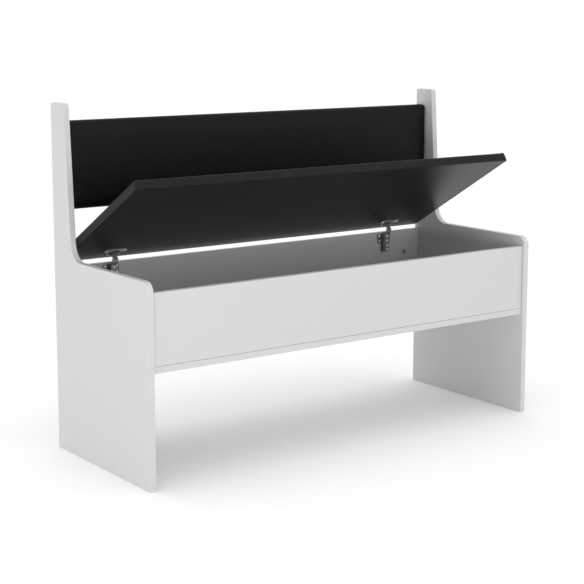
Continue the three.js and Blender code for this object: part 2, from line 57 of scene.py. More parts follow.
LOOK = "look_"
BOARD_NODES = (
    "left_gable",
    "right_gable",
    "front_panel",
    "rear_panel",
    "box_floor",
    "backrest_board",
)
# Boards whose material paints shade as a fine dark line at the joints with their neighbours,
# and the width of that painted line
JOINT_SHADED_BOARDS = {"front_panel": "front_board", "rear_panel": "rear_board"}
JOINT_SHADE_WIDTH = 0.001

# Parts of the nodes' names, with the look that each one gets and its slot in the record
METAL_LOOKS = {
    # The plate, arm, link and cup looks are one hinge steel, with painted light on the arm and
    # cup and painted shade on the plate and link
    "_mounting_plate": ("plate_steel", "hinge_steel"),
    "_hinge_arm": ("arm_steel", "hinge_steel"),
    "_hinge_link": ("link_steel", "hinge_steel"),
    "_hinge_cup": ("cup_steel", "hinge_steel"),
    "_pin": ("screw_steel", "screw_steel"),
    "_screw": ("screw_steel", "screw_steel"),
    "_cam_": ("cam_metal", "cam_metal"),
}

# The padded covers: roundings in plan and over the face's edges, the part of the lower
# rounding that is cut off, and the rise of the face over its reach from the edges
BACKREST_SHAPE = {
    "corner": 0.011,
    "radius": 0.0095,
    "hidden": 0.006,
    "crown": 0.003,
    "reach": 0.07,
}
SEAT_SHAPE = {
    "corner": 0.007,
    "radius": 0.0045,
    "hidden": 0.0029,
    "crown": 0.0012,
    "reach": 0.06,
}
BACKREST_SIDE_EXTRA = 0.0008

# The seat cover's skirt and the pocket that its board fills, and the lid's opening at rest
SKIRT_WIDTH = 0.0042
POCKET_DEPTH = 0.0183
LID_ANGLE = math.radians(30.0)
SHARP_ANGLE = math.radians(40.0)

# The screw heads: skirt and recess are shares of the height, the cutter of the radius
SCREW_SEED = 7
SCREW_SEGMENTS = 40
SCREW_RINGS = 24
SKIRT_SHARE = 0.5
CUTTER_SHARE = 3.0
RECESS_SHARE = 1.1

# The share of a CAD screw's radius from which a point counts as on its head's rim
RIM_SHARE = 0.98

# The stage: lamps are aimed at the target, and each has a height and a place of its own
SENSOR_WIDTH = 36.0
CLIP_START, CLIP_END = 0.05, 100.0
FLOOR_REACH = 30.0
LAMP_WIDTH = 2.6
LAMP_TARGET = (0.0, 0.0, 0.45)
LAMPS = {
    "front": {"height": 1.0, "place": (0.3, -4.6, 0.9)},
    "left": {"height": 0.6, "place": (-4.6, -0.3, 0.35)},
    "corner": {"height": 0.6, "place": (-3.4, -3.6, 0.35)},
}


# ---- Settings


def grey(name, description, shade):
    """A colour setting whose default is a grey"""
    return FloatVectorProperty(
        name=name,
        description=description,
        default=(shade, shade, shade),
        min=0.0,
        max=1.0,
        subtype="COLOR",
    )


class BenchColorSettings(bpy.types.PropertyGroup):
    """Colours of the floor, boards, covers and metals"""

    floor: grey("Floor", "Colour of the floor", 0.9)
    board: grey("Board", "Melamine of the white boards", 0.61)
    # Painted shade: the colour of the fine dark line that stands for the shade in the joints
    # between boards
    joint: grey("Joint", "Fine line where a panel meets its neighbours", 0.2)
    seat_board: grey("Seat Board", "Black lining of the seat board", 0.0036)
    backrest_cover: grey("Backrest Cover", "Artificial leather of the backrest", 0.003)
    seat_cover: grey("Seat Cover", "Artificial leather of the seat", 0.006)
    # One hinge steel in four copies: the arm and cup are lighter as painted light, and the
    # plate and link are darker as painted shade
    plate: grey("Plate", "Steel of the mounting plates", 0.26)
    arm: grey("Arm", "Steel of the hinge arms", 0.33)
    link: grey("Link", "Steel of the hinge links", 0.2)
    cup: grey("Cup", "Steel of the hinge cups", 0.62)
    screw: grey("Screw", "Steel of the screws and pins", 0.92)
    cam: grey("Cam", "Metal of the cam locks", 0.42)


class BenchCameraSettings(bpy.types.PropertyGroup):
    """Where the photograph was taken from"""

    place: FloatVectorProperty(
        name="Place",
        description="Camera position in the bench's frame",
        default=(-2.238563, -3.036958, 1.083552),
        subtype="TRANSLATION",
        unit="LENGTH",
    )
    yaw: FloatProperty(
        name="Yaw",
        description="Turn of the view from straight ahead towards the right",
        default=0.6288392,
        subtype="ANGLE",
    )
    pitch: FloatProperty(
        name="Pitch",
        description="Tilt of the view below the horizon",
        default=0.1586814,
        subtype="ANGLE",
    )
    lens: FloatProperty(
        name="Lens",
        description="Focal length on a 36 mm sensor",
        default=90.14,
        min=1.0,
        unit="CAMERA",
    )
    shift_y: FloatProperty(
        name="Vertical Shift",
        description="Lens shift, because the photograph is cropped off centre",
        default=-41.75 / 584.0,
    )


class BenchLightSettings(bpy.types.PropertyGroup):
    """Level of each light"""

    sky: FloatProperty(
        name="Sky",
        description="Strength of the light overhead, which falls to nothing at the horizon",
        default=1.57,
        min=0.0,
    )
    front: FloatProperty(
        name="Front",
        description="Power of the soft light in front",
        default=34.0,
        min=0.0,
        unit="POWER",
    )
    left: FloatProperty(
        name="Left",
        description="Power of the low light at the left",
        default=28.0,
        min=0.0,
        unit="POWER",
    )
    corner: FloatProperty(
        name="Corner",
        description="Power of the low light at the front left",
        default=38.0,
        min=0.0,
        unit="POWER",
    )
    floor_glow: FloatProperty(
        name="Floor Glow",
        description="White that is added to the floor as it is seen, but not to its light",
        default=0.08,
        min=0.0,
    )


class BenchCoverSettings(bpy.types.PropertyGroup):
    """How the padded covers are filled"""

    cell: FloatProperty(
        name="Cell",
        description="Size of the cloth's cells",
        default=0.008,
        min=0.002,
        unit="LENGTH",
    )
    frames: IntProperty(
        name="Frames", description="Length of the cloth simulation", default=24, min=1
    )
    travel: FloatProperty(
        name="Travel",
        description="Furthest that the cloth may carry a point",
        default=0.0018,
        min=0.0,
        unit="LENGTH",
    )
    spread: FloatProperty(
        name="Spread",
        description="Furthest that the cloth may carry a point towards the sides",
        default=0.0004,
        min=0.0,
        unit="LENGTH",
    )
    pressure: FloatProperty(
        name="Pressure", description="Push of the foam on the cover", default=1.5, min=0.0
    )


class BenchScrewSettings(bpy.types.PropertyGroup):
    """Sizes of the pan-head screws"""

    head_radius: FloatProperty(
        name="Head Radius", description="Radius of the head", default=0.0032, unit="LENGTH"
    )
    head_height: FloatProperty(
        name="Head Height", description="Height of the head", default=0.0019, unit="LENGTH"
    )
    recess: FloatProperty(
        name="Recess", description="Length of the cross recess", default=0.0036, unit="LENGTH"
    )
    slot: FloatProperty(
        name="Slot", description="Width of the cross recess", default=0.0009, unit="LENGTH"
    )


class BenchSettings(bpy.types.PropertyGroup):
    """All settings of the bench"""

    color: PointerProperty(type=BenchColorSettings, name="Color", description="Colours")
    camera: PointerProperty(type=BenchCameraSettings, name="Camera", description="Camera")
    light: PointerProperty(type=BenchLightSettings, name="Light", description="Lights")
    cover: PointerProperty(type=BenchCoverSettings, name="Cover", description="Covers")
    screw: PointerProperty(type=BenchScrewSettings, name="Screw", description="Screws")


# ---- Shader helpers


def new_material(name, color, roughness, metallic=0.0, specular=0.5):
    material = bpy.data.materials.new(LOOK + name)
    material.use_nodes = True
    shader = material.node_tree.nodes["Principled BSDF"]
    shader.inputs["Base Color"].default_value = (*color, 1.0)
    shader.inputs["Roughness"].default_value = roughness
    shader.inputs["Metallic"].default_value = metallic
    shader.inputs["Specular IOR Level"].default_value = specular
    return material, shader


def add_node(tree, kind, values=None, **settings):
    node = tree.nodes.new(kind)
    for key, value in settings.items():
        setattr(node, key, value)
    for key, value in (values or {}).items():
        node.inputs[key].default_value = value
    return node


def object_coordinates(tree):
    return add_node(tree, "ShaderNodeTexCoord").outputs["Object"]


def noise(tree, vector, scale, detail):
    node = add_node(tree, "ShaderNodeTexNoise", {"Scale": scale, "Detail": detail})
    tree.links.new(vector, node.inputs["Vector"])
    return node.outputs["Fac"]


def map_range(tree, value, source, target):
    """A value carried from one range to another, held at its ends"""
    ends = {
        "From Min": source[0],
        "From Max": source[1],
        "To Min": target[0],
        "To Max": target[1],
    }
    node = add_node(tree, "ShaderNodeMapRange", ends)
    tree.links.new(value, node.inputs["Value"])
    return node.outputs["Result"]


def bump(tree, shader, height, strength, distance):
    node = add_node(tree, "ShaderNodeBump", {"Strength": strength, "Distance": distance})
    tree.links.new(height, node.inputs["Height"])
    tree.links.new(node.outputs["Normal"], shader.inputs["Normal"])


def largest(tree, *values):
    """The largest of several values"""
    top = values[0]
    for value in values[1:]:
        node = add_node(tree, "ShaderNodeMath", operation="MAXIMUM")
        tree.links.new(top, node.inputs[0])
        tree.links.new(value, node.inputs[1])
        top = node.outputs[0]
    return top


def seen_directly(tree):
    """One for rays from the camera, a mirror or glass, and nothing for light that is cast"""
    path = add_node(tree, "ShaderNodeLightPath").outputs
    rays = ("Is Camera Ray", "Is Glossy Ray", "Is Transmission Ray")
    return largest(tree, *(path[ray] for ray in rays))


def blend(tree, share, first, second):
    """A colour between two, by a share"""
    node = add_node(tree, "ShaderNodeMix", data_type="RGBA")
    inputs = {socket.identifier: socket for socket in node.inputs}
    outputs = {socket.identifier: socket for socket in node.outputs}
    tree.links.new(share, inputs["Factor_Float"])
    inputs["A_Color"].default_value = (*first, 1.0)
    inputs["B_Color"].default_value = (*second, 1.0)
    return outputs["Result_Color"]


def times(color, share):
    return [share * level for level in color]


def white_board_material(name, color):
    material, shader = new_material(name, color, roughness=0.36, specular=0.4)
    tree = material.node_tree
    place = object_coordinates(tree)
    grain = noise(tree, place, scale=900.0, detail=2.0)
    bump(tree, shader, grain, strength=0.03, distance=0.0001)
    worn = noise(tree, place, scale=14.0, detail=4.0)
    gloss = map_range(tree, worn, (0.3, 0.7), (0.33, 0.40))
    tree.links.new(gloss, shader.inputs["Roughness"])
    return material


def outside(tree, value, low, high, width):
    """One where a coordinate lies within a width of its low or high end, or beyond it"""
    full = 0.7 * width
    under = map_range(tree, value, (low + width, low + full), (0.0, 1.0))
    over = map_range(tree, value, (high - full, high - width), (1.0, 0.0))
    return largest(tree, under, over)


def joint_shaded_board_material(name, colors, node):
    """A white board with painted shade along its ends and foot: a fine dark line that stands
    for the shade in the gap where it meets its neighbours
    """
    material = white_board_material(name, colors.board)
    tree = material.node_tree
    shader = tree.nodes["Principled BSDF"]
    low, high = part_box(node)
    split = add_node(tree, "ShaderNodeSeparateXYZ")
    tree.links.new(object_coordinates(tree), split.inputs[0])
    # Painted shade in the joints: the board darkens to the joint colour near its ends and foot
    ends = outside(tree, split.outputs["X"], low.x, high.x, JOINT_SHADE_WIDTH)
    no_head = high.z + 1.0
    foot = outside(tree, split.outputs["Z"], low.z, no_head, JOINT_SHADE_WIDTH)
    tint = blend(tree, largest(tree, ends, foot), colors.board, colors.joint)
    tree.links.new(tint, shader.inputs["Base Color"])
    return material


def black_board_material(color):
    material, shader = new_material("black_board", color, roughness=0.34, specular=0.18)
    tree = material.node_tree
    grain = noise(tree, object_coordinates(tree), scale=1100.0, detail=2.0)
    bump(tree, shader, grain, strength=0.15, distance=0.0001)
    return material


def leather_material(name, color, specular, grain):
    material, shader = new_material(name, color, roughness=0.5, specular=specular)
    tree = material.node_tree
    place = object_coordinates(tree)
    size = {"Scale": 620.0, "Randomness": 1.0}
    cells = add_node(tree, "ShaderNodeTexVoronoi", size, feature="DISTANCE_TO_EDGE")
    tree.links.new(place, cells.inputs["Vector"])
    pores = map_range(tree, cells.outputs["Distance"], (0.0, 0.22), (0.0, 1.0))
    wrinkles = noise(tree, place, scale=240.0, detail=4.0)
    wrinkle_share = 0.35
    mix = add_node(tree, "ShaderNodeMath", {1: wrinkle_share}, operation="MULTIPLY_ADD")
    tree.links.new(wrinkles, mix.inputs[0])
    tree.links.new(pores, mix.inputs[2])
    bump(tree, shader, mix.outputs[0], strength=grain, distance=0.00022)
    gloss = map_range(tree, pores, (0.0, 1.0), (0.6, 0.46))
    tree.links.new(gloss, shader.inputs["Roughness"])
    speckle = noise(tree, place, scale=430.0, detail=2.0)
    share = map_range(tree, speckle, (0.36, 0.64), (0.0, 1.0))
    dark, pale = times(color, 0.25), times(color, 2.1)
    tint = blend(tree, share, dark, pale)
    tree.links.new(tint, shader.inputs["Base Color"])
    return material


def metal_material(name, color, roughness, metallic):
    material, shader = new_material(name, color, roughness, metallic)
    tree = material.node_tree
    place = object_coordinates(tree)
    grain = noise(tree, place, scale=500.0, detail=3.0)
    bump(tree, shader, grain, strength=0.1, distance=0.0001)
    worn = noise(tree, place, scale=90.0, detail=4.0)
    gloss = map_range(tree, worn, (0.3, 0.7), (roughness - 0.05, roughness + 0.08))
    tree.links.new(gloss, shader.inputs["Roughness"])
    return material


def materials():
    """The bench's own materials by name, made on first use"""
    colors = bpy.context.scene.bench.color

    def joint_shaded(node):
        return lambda name: joint_shaded_board_material(name, colors, node)

    def leather(color, specular, grain):
        return lambda name: leather_material(name, color, specular, grain)

    def metal(color, roughness, metallic):
        return lambda name: metal_material(name, color, roughness, metallic)

    makers = {
        "white_board": lambda name: white_board_material(name, colors.board),
        # The front and rear panels carry painted shade in their joints
        "front_board": joint_shaded("front_panel"),
        "rear_board": joint_shaded("rear_panel"),
        "black_board": lambda name: black_board_material(colors.seat_board),
        "backrest_cover": leather(colors.backrest_cover, specular=0.15, grain=0.5),
        "seat_cover": leather(colors.seat_cover, specular=0.18, grain=0.35),
        # One hinge steel in four copies, with painted light on the arm and cup and painted
        # shade on the plate and link
        "plate_steel": metal(colors.plate, roughness=0.38, metallic=0.6),
        "arm_steel": metal(colors.arm, roughness=0.38, metallic=0.55),
        "link_steel": metal(colors.link, roughness=0.4, metallic=0.7),
        "cup_steel": metal(colors.cup, roughness=0.34, metallic=0.8),
        "screw_steel": metal(colors.screw, roughness=0.16, metallic=0.8),
        "cam_metal": metal(colors.cam, roughness=0.5, metallic=1.0),
    }
    return {
        name: bpy.data.materials.get(LOOK + name) or make(name)
        for name, make in makers.items()
    }


def dress(obj, material):
    """Gives a piece its one material"""
    obj.data.materials.clear()
    obj.data.materials.append(materials()[material])


# ---- Mesh helpers


def graded(half, corner, radius, cell, steps=4):
    """Places along one side of a rounded block: fine over its roundings, even between"""
    inner = half - corner
    count = max(1, round(2 * inner / cell))
    middle = [-inner + 2 * inner * i / count for i in range(count + 1)]
    turn = [inner + (corner - radius) * i / steps for i in range(1, steps + 1)]
    edge = [half - radius + radius * i / steps for i in range(1, steps + 1)]
    outer = (turn if corner > radius else []) + edge
    return [-v for v in reversed(outer)] + middle + outer


def surface_grid(axes):
    """Points and outward quads on the six sides of a block with the given places"""
    points, faces, seen = [], [], {}

    def vertex(ijk):
        if ijk not in seen:
            seen[ijk] = len(points)
            points.append([axes[k][ijk[k]] for k in range(3)])
        return seen[ijk]

    for axis in range(3):
        u, v = (axis + 1) % 3, (axis + 2) % 3
        for end, flip in ((0, True), (len(axes[axis]) - 1, False)):
            for i in range(len(axes[u]) - 1):
                for j in range(len(axes[v]) - 1):
                    corners = []
                    for a, b in ((i, j), (i + 1, j), (i + 1, j + 1), (i, j + 1)):
                        key = [0, 0, 0]
                        key[axis], key[u], key[v] = end, a, b
                        corners.append(vertex(tuple(key)))
                    faces.append(corners[::-1] if flip else corners)
    return np.array(points), faces


def rounded(points, half, corner, radius):
    """Rounds the four upright corners of a block and then the edges of its two faces"""
    flat, inner = np.abs(points[:, :2]), np.array(half[:2]) - corner
    share = np.clip((flat - inner) / corner, 0.0, 1.0)
    over = corner * share * np.sqrt(1.0 - share[:, ::-1] ** 2 / 2.0)
    reach = np.linalg.norm(over, axis=1)
    out = np.maximum(reach - (corner - radius), 0.0)
    rise = np.maximum(np.abs(points[:, 2]) - (half[2] - radius), 0.0)
    length = np.hypot(out, rise)
    turned = (out > 0) & (rise > 0)
    scale = np.where(turned, radius / np.maximum(length, 1e-12), 1.0)
    kept = (corner - radius + out * scale) / np.maximum(reach, 1e-12)
    shrink = np.where(turned, kept, 1.0)
    flat = np.minimum(flat, inner) + over * shrink[:, None]
    height = np.minimum(np.abs(points[:, 2]), half[2] - radius) + rise * scale
    return np.sign(points) * np.column_stack([flat, height])


def rounded_block(name, half, corner, radius, cell):
    """A closed block of quads, centred, rounded in plan and over the edges of its faces"""
    axes = [graded(half[i], corner, radius, cell) for i in range(2)]
    axes.append(graded(half[2], radius, radius, cell))
    points, faces = surface_grid(axes)
    mesh = bpy.data.meshes.new(name)
    mesh.from_pydata(rounded(points, half, corner, radius).tolist(), [], faces)
    mesh.update()
    return mesh


def link_object(name, mesh):
    obj = bpy.data.objects.new(name, mesh)
    bpy.context.scene.collection.objects.link(obj)
    return obj


def smooth(mesh):
    """Smooth shading, but not over sharp edges"""
    mesh.polygons.foreach_set("use_smooth", [True] * len(mesh.polygons))
    mesh.set_sharp_from_angle(angle=SHARP_ANGLE)


def coordinates(mesh):
    flat = np.empty(len(mesh.vertices) * 3)
    mesh.vertices.foreach_get("co", flat)
    return flat.reshape(-1, 3)


def set_coordinates(mesh, points):
    mesh.vertices.foreach_set("co", np.asarray(points, float).ravel())
    mesh.update()


def crown(points, half, height, reach):
    """Raises the front of a pad (local +z) smoothly towards its middle"""
    near = np.minimum(half[0] - np.abs(points[:, 0]), half[1] - np.abs(points[:, 1]))
    share = np.clip(near / reach, 0.0, 1.0)
    rise = height * (1.0 - (1.0 - share) ** 2)
    points = points.copy()
    points[:, 2] += np.where(points[:, 2] > 0, rise, 0.0)
    return points


def fill_with_foam(obj, settings, held_below):
    """Lets pressure fill the cover: points up to a height are held, and travel is capped"""
    start = coordinates(obj.data)
    group = obj.vertex_groups.new(name="held")
    group.add(np.nonzero(start[:, 2] <= held_below)[0].tolist(), 1.0, "REPLACE")
    cover = obj.modifiers.new("cover", "CLOTH")
    cloth = cover.settings
    cloth.quality = 5
    cloth.mass = 0.3
    cloth.tension_stiffness = 25.0
    cloth.compression_stiffness = 25.0
    cloth.shear_stiffness = 15.0
    cloth.bending_stiffness = 2.0
    cloth.use_pressure = True
    cloth.uniform_pressure_force = settings.pressure
    cloth.vertex_group_mass = "held"
    cloth.effector_weights.gravity = 0.0
    cover.point_cache.frame_end = settings.frames
    scene = bpy.context.scene
    for number in range(1, settings.frames + 1):
        scene.frame_set(number)
    depsgraph = bpy.context.evaluated_depsgraph_get()
    move = coordinates(obj.evaluated_get(depsgraph).data) - start
    obj.modifiers.remove(cover)
    scene.frame_set(1)
    length = np.linalg.norm(move, axis=1, keepdims=True)
    if not np.isfinite(length).all():
        raise RuntimeError(f"the cloth simulation of {obj.name} didn't settle")
    cap = settings.travel
    move *= np.where(length > cap, cap / np.maximum(length, 1e-9), 1.0)
    move[:, :2] = np.clip(move[:, :2], -settings.spread, settings.spread)
    set_coordinates(obj.data, start + move)


def make_pad(name, half, shape, place, cover):
    """A padded form, flat behind and raised in front, set in place by its vertices"""
    hidden, raised = shape["hidden"], shape["crown"]
    block = (half[0], half[1], half[2] + (hidden - raised) / 2)
    mesh = rounded_block(name, block, shape["corner"], shape["radius"], cover.cell)
    points = coordinates(mesh)
    points[:, 2] -= (hidden + raised) / 2
    points = crown(points, half, raised, shape["reach"])
    points[:, 2] = np.maximum(points[:, 2], -half[2])
    set_coordinates(mesh, points)
    obj = link_object(name, mesh)
    fill_with_foam(obj, cover, held_below=0.0)
    obj.data.transform(place)
    obj.data.update()
    smooth(obj.data)
    return obj


# ---- Geometry Nodes helpers


def new_group(name, inputs):
    group = bpy.data.node_groups.new(name, "GeometryNodeTree")
    for label, kind, default in inputs:
        socket = group.interface.new_socket(label, in_out="INPUT", socket_type=kind)
        if default is not None:
            socket.default_value = default
    group.interface.new_socket("Geometry", in_out="OUTPUT", socket_type="NodeSocketGeometry")
    return group


def socket_ids(group):
    return {
        item.name: item.identifier
        for item in group.interface.items_tree
        if item.item_type == "SOCKET" and item.in_out == "INPUT"
    }


def plain_copy(name, source):
    """The evaluated mesh of an object, which is removed, as a new plain object"""
    depsgraph = bpy.context.evaluated_depsgraph_get()
    mesh = bpy.data.meshes.new_from_object(source.evaluated_get(depsgraph))
    mesh.name = name
    bpy.data.objects.remove(source, do_unlink=True)
    if not mesh.vertices:
        raise RuntimeError(f"{name} came out empty")
    return link_object(name, mesh)


def screw_group(sizes):
    """A pan head with a cross recess on each point, facing the way the point names"""
    group = new_group(
        "pan_head_screws",
        [
            ("Geometry", "NodeSocketGeometry", None),
            ("Head Radius", "NodeSocketFloat", sizes.head_radius),
            ("Head Height", "NodeSocketFloat", sizes.head_height),
            ("Recess", "NodeSocketFloat", sizes.recess),
            ("Slot", "NodeSocketFloat", sizes.slot),
            ("Seed", "NodeSocketInt", SCREW_SEED),
            ("Material", "NodeSocketMaterial", None),
        ],
    )
    new, link = group.nodes.new, group.links.new
    source = new("NodeGroupInput").outputs
    radius, height = source["Head Radius"], source["Head Height"]

    def feed(socket, value):
        """Links a socket to another, or sets its value"""
        if isinstance(value, bpy.types.NodeSocket):
            link(value, socket)
        else:
            socket.default_value = value

    def math_node(operation, *values):
        node = new("ShaderNodeMath")
        node.operation = operation
        for socket, value in zip(node.inputs, values):
            feed(socket, value)
        return node.outputs[0]

    def part_of(length, share):
        return math_node("MULTIPLY", length, share)

    def vector(*values):
        node = new("ShaderNodeCombineXYZ")
        for socket, value in zip(node.inputs, values):
            feed(socket, value)
        return node.outputs[0]

    def transformed(geometry, label, value):
        node = new("GeometryNodeTransform")
        link(geometry, node.inputs["Geometry"])
        link(value, node.inputs[label])
        return node.outputs["Geometry"]

    def lifted(geometry, rise):
        return transformed(geometry, "Translation", vector(0.0, 0.0, rise))

    def cuboid(*size):
        node = new("GeometryNodeMeshCube")
        link(vector(*size), node.inputs["Size"])
        return node.outputs["Mesh"]

    def boolean(operation, body, tools):
        node = new("GeometryNodeMeshBoolean")
        node.operation = operation
        node.solver = "EXACT"
        if body is not None:
            link(body, node.inputs["Mesh 1"])
        for tool in tools:
            link(tool, node.inputs["Mesh 2"])
        return node.outputs["Mesh"]

    # The head: a flattened ball on a short skirt, with its lower half cut off
    ball = new("GeometryNodeMeshUVSphere")
    ball.inputs["Segments"].default_value = SCREW_SEGMENTS
    ball.inputs["Rings"].default_value = SCREW_RINGS
    link(radius, ball.inputs["Radius"])
    flat = vector(1.0, 1.0, math_node("DIVIDE", height, radius))
    dome = transformed(ball.outputs["Mesh"], "Scale", flat)
    skirt = new("GeometryNodeMeshCylinder")
    skirt.inputs["Vertices"].default_value = SCREW_SEGMENTS
    link(radius, skirt.inputs["Radius"])
    link(part_of(height, SKIRT_SHARE), skirt.inputs["Depth"])
    foot = lifted(skirt.outputs["Mesh"], part_of(height, SKIRT_SHARE / 2))
    head = boolean("UNION", None, [dome, foot])
    wide = part_of(radius, CUTTER_SHARE)
    cutters = [lifted(cuboid(wide, wide, height), part_of(height, -0.5))]

    # The cross recess
    long, short = source["Recess"], source["Slot"]
    deep = part_of(height, RECESS_SHARE)
    for size in ((long, short, deep), (short, long, deep)):
        cutters.append(lifted(cuboid(*size), height))
    screw = boolean("DIFFERENCE", head, cutters)

    # Each screw faces its point's way and is turned about it at random
    turn = new("FunctionNodeRandomValue")
    turn.data_type = "FLOAT"
    turn.inputs["Min"].default_value = 0.0
    turn.inputs["Max"].default_value = math.pi / 2
    link(source["Seed"], turn.inputs["Seed"])
    way = new("GeometryNodeInputNamedAttribute")
    way.data_type = "FLOAT_VECTOR"
    way.inputs["Name"].default_value = "way"
    face = new("FunctionNodeAlignRotationToVector")
    face.axis = "Z"
    link(way.outputs["Attribute"], face.inputs["Vector"])
    about = new("FunctionNodeAxisAngleToRotation")
    about.inputs["Axis"].default_value = (0.0, 0.0, 1.0)
    link(turn.outputs[1], about.inputs["Angle"])
    spin = new("FunctionNodeRotateRotation")
    spin.rotation_space = "LOCAL"
    link(face.outputs["Rotation"], spin.inputs["Rotation"])
    link(about.outputs["Rotation"], spin.inputs["Rotate By"])

    spread = new("GeometryNodeInstanceOnPoints")
    link(source["Geometry"], spread.inputs["Points"])
    link(screw, spread.inputs["Instance"])
    link(spin.outputs["Rotation"], spread.inputs["Rotation"])
    real = new("GeometryNodeRealizeInstances")
    link(spread.outputs["Instances"], real.inputs["Geometry"])
    paint = new("GeometryNodeSetMaterial")
    link(real.outputs["Geometry"], paint.inputs["Geometry"])
    link(source["Material"], paint.inputs["Material"])
    link(paint.outputs["Geometry"], new("NodeGroupOutput").inputs["Geometry"])
    return group


def screw_axis(points):
    """Middle of the head's seat and outward way of a CAD screw, from its own points"""
    middle = points.mean(axis=0)
    spread = points - middle
    way = np.linalg.svd(spread, full_matrices=False)[2][0]
    height = spread @ way
    across = np.linalg.norm(spread - np.outer(height, way), axis=1)
    wide = height[across > across.max() * RIM_SHARE]
    if wide.mean() < 0:
        way, wide = -way, -wide
    centre = (points.min(axis=0) + points.max(axis=0)) / 2
    seat = centre + way * (wide.min() - (centre - middle) @ way)
    return seat, way


def build_screws(name, body, names, sizes):
    """Replaces the CAD screws of one body"""
    seats = [screw_axis(coordinates(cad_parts[screw].data)) for screw in names]
    mesh = bpy.data.meshes.new(name)
    mesh.from_pydata([seat.tolist() for seat, _ in seats], [], [])
    ways = mesh.attributes.new("way", "FLOAT_VECTOR", "POINT")
    ways.data.foreach_set("vector", np.array([way for _, way in seats]).ravel())
    obj = link_object(name + "_points", mesh)
    group = bpy.data.node_groups.get("pan_head_screws") or screw_group(sizes)
    ids = socket_ids(group)
    modifier = obj.modifiers.new("screws", "NODES")
    modifier.node_group = group
    modifier[ids["Head Radius"]] = sizes.head_radius
    modifier[ids["Head Height"]] = sizes.head_height
    modifier[ids["Recess"]] = sizes.recess
    modifier[ids["Slot"]] = sizes.slot
    modifier[ids["Seed"]] = SCREW_SEED
    modifier[ids["Material"]] = materials()["screw_steel"]
    made = plain_copy(name, obj)
    dress(made, "screw_steel")
    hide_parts(*names)
    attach(made, body)


# ---- Operators


class BENCH_OT_boards(bpy.types.Operator):
    """Gives the boards and the seat board their melamine"""

    bl_idname = "bench.boards"
    bl_label = "Boards"

    def execute(self, context):
        for name in BOARD_NODES:
            look = JOINT_SHADED_BOARDS.get(name, "white_board")
            dress(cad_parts[name], look)
        dress(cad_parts["seat_board"], "black_board")
        return {"FINISHED"}


class BENCH_OT_hinges(bpy.types.Operator):
    """Gives the hinges, pins and cam locks their metal"""

    bl_idname = "bench.hinges"
    bl_label = "Hinges"

    def execute(self, context):
        for name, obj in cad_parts.items():
            for part, (look, slot) in METAL_LOOKS.items():
                if part in name:
                    dress(obj, look)
        return {"FINISHED"}


class BENCH_OT_screws(bpy.types.Operator):
    """Builds the pan-head screws of the hinges"""

    bl_idname = "bench.screws"
    bl_label = "Screws"

    def execute(self, context):
        sizes = context.scene.bench.screw
        names = [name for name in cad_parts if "_screw" in name]
        lid = [name for name in names if "_cup_screw_" in name]
        fixed = [name for name in names if name not in lid]
        if not lid or not fixed:
            raise RuntimeError("the frame has no screws")
        build_screws("carcass_screws", "carcass", fixed, sizes)
        build_screws("lid_screws", "lid", lid, sizes)
        return {"FINISHED"}


class BENCH_OT_backrest(bpy.types.Operator):
    """Builds the padded cover of the backrest"""

    bl_idname = "bench.backrest"
    bl_label = "Backrest"

    def execute(self, context):
        low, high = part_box("backrest_pad")
        size = high - low
        half = (size.x / 2 + BACKREST_SIDE_EXTRA, size.z / 2, size.y / 2)
        turn = Matrix(((1, 0, 0), (0, 0, -1), (0, 1, 0))).to_4x4()
        place = Matrix.Translation((low + high) / 2) @ turn
        cover = context.scene.bench.cover
        pad = make_pad("backrest_cushion", half, BACKREST_SHAPE, place, cover)
        dress(pad, "backrest_cover")
        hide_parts("backrest_pad")
        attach(pad, "carcass")
        return {"FINISHED"}


def seat_cover_place():
    """Half sizes and place of the seat's cover at rest, from the CAD cover's own points"""
    points = coordinates(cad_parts["seat_pad"].data)
    along = np.array([0.0, -math.cos(LID_ANGLE), math.sin(LID_ANGLE)])
    up = np.array([0.0, math.sin(LID_ANGLE), math.cos(LID_ANGLE)])
    across, reach, rise = points[:, 0], points @ along, points @ up
    half = tuple((values.max() - values.min()) / 2 for values in (across, reach, rise))
    middle = along * (reach.min() + reach.max()) / 2 + up * (rise.max() + rise.min()) / 2
    turn = Matrix(((1, 0, 0), (0, -along[1], up[1]), (0, -along[2], up[2]))).to_4x4()
    return half, Matrix.Translation(Vector(middle)) @ turn


class BENCH_OT_seat(bpy.types.Operator):
    """Builds the padded cover of the seat, open underneath over its board"""

    bl_idname = "bench.seat"
    bl_label = "Seat"

    def execute(self, context):
        half, place = seat_cover_place()
        pad = make_pad("seat_cover", half, SEAT_SHAPE, place, context.scene.bench.cover)
        open_below(pad, half, place)
        dress(pad, "seat_cover")
        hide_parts("seat_pad")
        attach(pad, "lid")
        return {"FINISHED"}


def open_below(obj, half, place):
    """Cuts the pocket that the seat board sits in"""
    size = (2 * (half[0] - SKIRT_WIDTH), 2 * (half[1] - SKIRT_WIDTH), 2 * POCKET_DEPTH)
    mesh = bpy.data.meshes.new("pocket")
    shape = bmesh.new()
    bmesh.ops.create_cube(shape, size=1.0)
    bmesh.ops.scale(shape, vec=size, verts=shape.verts)
    bmesh.ops.translate(shape, vec=(0, 0, -half[2]), verts=shape.verts)
    shape.to_mesh(mesh)
    shape.free()
    mesh.transform(place)
    cutter = link_object("pocket", mesh)
    modifier = obj.modifiers.new("pocket", "BOOLEAN")
    modifier.operation = "DIFFERENCE"
    modifier.solver = "EXACT"
    modifier.object = cutter
    depsgraph = bpy.context.evaluated_depsgraph_get()
    carved = bpy.data.meshes.new_from_object(obj.evaluated_get(depsgraph))
    obj.modifiers.remove(modifier)
    solid = obj.data
    obj.data = carved
    bpy.data.meshes.remove(solid)
    bpy.data.objects.remove(cutter, do_unlink=True)
    bpy.data.meshes.remove(mesh)
    smooth(obj.data)


